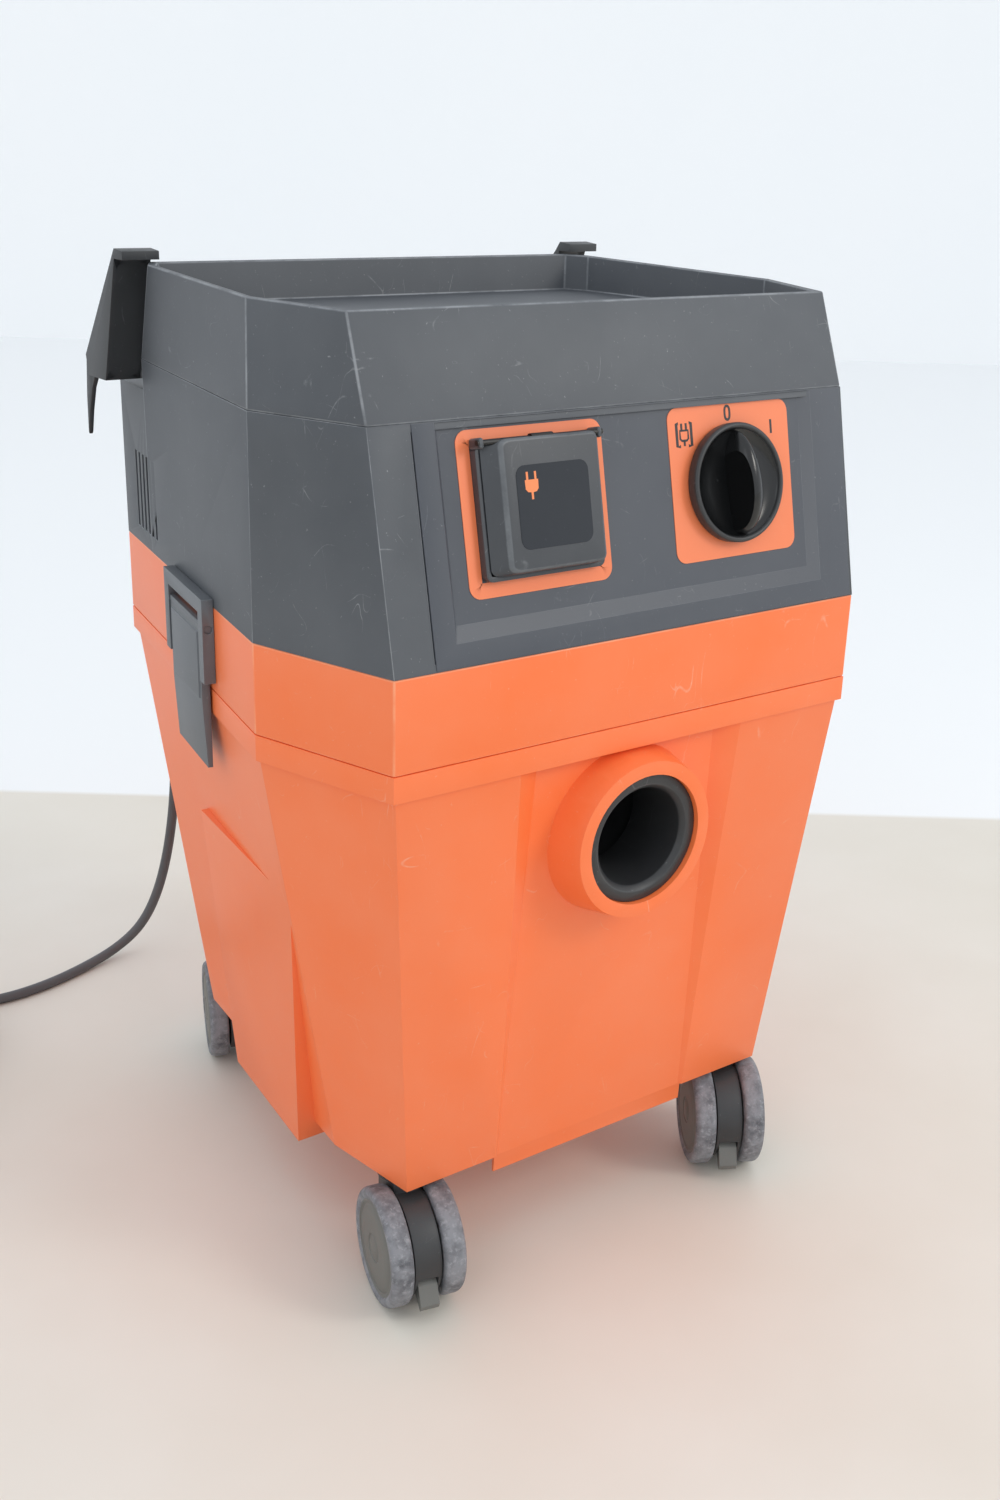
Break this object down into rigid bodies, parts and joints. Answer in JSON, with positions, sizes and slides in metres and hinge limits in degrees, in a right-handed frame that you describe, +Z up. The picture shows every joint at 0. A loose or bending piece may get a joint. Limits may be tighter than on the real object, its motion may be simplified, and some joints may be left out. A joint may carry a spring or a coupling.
{
  "type": "shop vacuum",
  "caption": "Wheeled wet and dry shop vacuum: tapered dust tub on swivel casters, lift-off motor head with tool tray, tool socket, rotary switch and mains lead.",
  "frame": {"origin": "on the floor, under the middle of the machine's plan box, measured without the mains lead", "axes": "+Z up, -Y towards the suction inlet and the control panel, +X to the right seen from the front"},
  "size_m": [0.583, 0.5477, 0.598],
  "materials": {
    "tub_plastic": "satin",
    "head_plastic": "fine grain",
    "panel_plastic": "fine grain",
    "black_plastic": "smooth",
    "hook_plastic": "fine grain",
    "latch_plastic": "fine grain",
    "flap_plastic": "satin",
    "knob_plastic": "gloss",
    "label_film": "printed film",
    "wheel_plastic": "satin",
    "tread_rubber": "dusty",
    "rubber": "matt",
    "cord_rubber": "matt",
    "steel": "plain",
    "motor_metal": "cast",
    "filter_paper": "pleated"
  },
  "bodies": {
    "tub": {"container": "tub_plastic", "suction_inlet": "black_plastic", "inlet_deflector": "black_plastic", "caster_bushes": "steel", "cord_tube": "cord_rubber", "cord_coil": "cord_rubber", "cord_plug": "rubber"},
    "caster_front_left": {"caster_fork_front_left": "wheel_plastic", "caster_axle_front_left": "steel"},
    "wheel_front_left_left": {"wheel_front_left_left": "wheel_plastic", "tread_front_left_left": "tread_rubber"},
    "wheel_front_left_right": {"wheel_front_left_right": "wheel_plastic", "tread_front_left_right": "tread_rubber"},
    "brake_front_left": {"brake_lever_front_left": "wheel_plastic"},
    "caster_front_right": {"caster_fork_front_right": "wheel_plastic", "caster_axle_front_right": "steel"},
    "wheel_front_right_left": {"wheel_front_right_left": "wheel_plastic", "tread_front_right_left": "tread_rubber"},
    "wheel_front_right_right": {"wheel_front_right_right": "wheel_plastic", "tread_front_right_right": "tread_rubber"},
    "brake_front_right": {"brake_lever_front_right": "wheel_plastic"},
    "caster_rear_left": {"caster_fork_rear_left": "wheel_plastic", "caster_axle_rear_left": "steel"},
    "wheel_rear_left_left": {"wheel_rear_left_left": "wheel_plastic", "tread_rear_left_left": "tread_rubber"},
    "wheel_rear_left_right": {"wheel_rear_left_right": "wheel_plastic", "tread_rear_left_right": "tread_rubber"},
    "caster_rear_right": {"caster_fork_rear_right": "wheel_plastic", "caster_axle_rear_right": "steel"},
    "wheel_rear_right_left": {"wheel_rear_right_left": "wheel_plastic", "tread_rear_right_left": "tread_rubber"},
    "wheel_rear_right_right": {"wheel_rear_right_right": "wheel_plastic", "tread_rear_right_right": "tread_rubber"},
    "head": {"base_ring": "tub_plastic", "head_seal": "rubber", "motor_plate": "black_plastic", "motor_housing": "head_plastic", "top_cover": "head_plastic", "hook_left": "hook_plastic", "hook_right": "hook_plastic", "latch_bracket_left": "head_plastic", "latch_bracket_right": "head_plastic", "control_panel": "panel_plastic", "panel_labels": "label_film", "socket_insert": "black_plastic", "flap_pin": "steel", "flap_spring": "steel", "switch_body": "black_plastic", "motor_mount": "rubber", "motor": "motor_metal", "filter": "filter_paper", "filter_cap": "black_plastic", "plate_screws": "steel", "cord_gland": "rubber"},
    "latch_right": {"latch_lever_right": "latch_plastic"},
    "latch_left": {"latch_lever_left": "latch_plastic"},
    "socket_flap": {"socket_flap": "flap_plastic"},
    "knob": {"knob": "knob_plastic", "knob_spindle": "steel"},
    "fan": {"fan_wheel": "motor_metal"}
  },
  "joints": [
    {"name": "swivel_front_left", "type": "hinge", "parent": "tub", "child": "caster_front_left", "pos_m": [-0.131, -0.138, 0.0365], "axis": [0, 0, 1], "continuous": true},
    {"name": "spin_front_left_left", "type": "hinge", "parent": "caster_front_left", "child": "wheel_front_left_left", "pos_m": [-0.15149, -0.15409, 0.0365], "axis": [0.9781, -0.2079, 0], "continuous": true},
    {"name": "spin_front_left_right", "type": "hinge", "parent": "caster_front_left", "child": "wheel_front_left_right", "pos_m": [-0.11882, -0.16104, 0.0365], "axis": [0.9781, -0.2079, 0], "continuous": true},
    {"name": "brake_press_front_left", "type": "hinge", "parent": "caster_front_left", "child": "brake_front_left", "pos_m": [-0.13952, -0.1781, 0.0255], "axis": [0.9781, -0.2079, 0], "range_deg": [0, 15]},
    {"name": "swivel_front_right", "type": "hinge", "parent": "tub", "child": "caster_front_right", "pos_m": [0.131, -0.138, 0.0365], "axis": [0, 0, 1], "continuous": true},
    {"name": "spin_front_right_left", "type": "hinge", "parent": "caster_front_right", "child": "wheel_front_right_left", "pos_m": [0.10654, -0.14697, 0.0365], "axis": [0.866, -0.5, 0], "continuous": true},
    {"name": "spin_front_right_right", "type": "hinge", "parent": "caster_front_right", "child": "wheel_front_right_right", "pos_m": [0.13546, -0.16367, 0.0365], "axis": [0.866, -0.5, 0], "continuous": true},
    {"name": "brake_press_front_right", "type": "hinge", "parent": "caster_front_right", "child": "brake_front_right", "pos_m": [0.1105, -0.17351, 0.0255], "axis": [0.866, -0.5, 0], "range_deg": [0, 15]},
    {"name": "swivel_rear_left", "type": "hinge", "parent": "tub", "child": "caster_rear_left", "pos_m": [-0.104, 0.134, 0.0365], "axis": [0, 0, 1], "continuous": true},
    {"name": "spin_rear_left_left", "type": "hinge", "parent": "caster_rear_left", "child": "wheel_rear_left_left", "pos_m": [-0.08147, 0.14708, 0.0365], "axis": [-0.9397, 0.342, 0], "continuous": true},
    {"name": "spin_rear_left_right", "type": "hinge", "parent": "caster_rear_left", "child": "wheel_rear_left_right", "pos_m": [-0.11285, 0.15851, 0.0365], "axis": [-0.9397, 0.342, 0], "continuous": true},
    {"name": "swivel_rear_right", "type": "hinge", "parent": "tub", "child": "caster_rear_right", "pos_m": [0.104, 0.134, 0.0365], "axis": [0, 0, 1], "continuous": true},
    {"name": "spin_rear_right_left", "type": "hinge", "parent": "caster_rear_right", "child": "wheel_rear_right_left", "pos_m": [0.11618, 0.15704, 0.0365], "axis": [-0.9781, -0.2079, 0], "continuous": true},
    {"name": "spin_rear_right_right", "type": "hinge", "parent": "caster_rear_right", "child": "wheel_rear_right_right", "pos_m": [0.08351, 0.15009, 0.0365], "axis": [-0.9781, -0.2079, 0], "continuous": true},
    {"name": "head_lift", "type": "slide", "parent": "tub", "child": "head", "axis": [0, 0, 1], "range_m": [0, 0.3]},
    {"name": "latch_open_right", "type": "hinge", "parent": "head", "child": "latch_right", "pos_m": [0.18168, 0.02263, 0.3955], "axis": [0.165, -0.9863, 0], "range_deg": [0, 120]},
    {"name": "latch_open_left", "type": "hinge", "parent": "head", "child": "latch_left", "pos_m": [-0.18168, 0.02263, 0.3955], "axis": [0.165, 0.9863, 0], "range_deg": [0, 120]},
    {"name": "flap_open", "type": "hinge", "parent": "head", "child": "socket_flap", "pos_m": [-0.0665, -0.16954, 0.52081], "axis": [-1, 0, 0], "range_deg": [0, 100], "stiffness_Nm_per_rad": 0.02, "springref_deg": -34.38},
    {"name": "knob_turn", "type": "hinge", "parent": "head", "child": "knob", "pos_m": [0.0735, -0.1695, 0.48367], "axis": [0, -0.9767, 0.2144], "range_deg": [-45, 45]},
    {"name": "fan_spin", "type": "hinge", "parent": "head", "child": "fan", "pos_m": [0, 0, 0.3685], "axis": [0, 0, 1], "continuous": true}
  ]
}
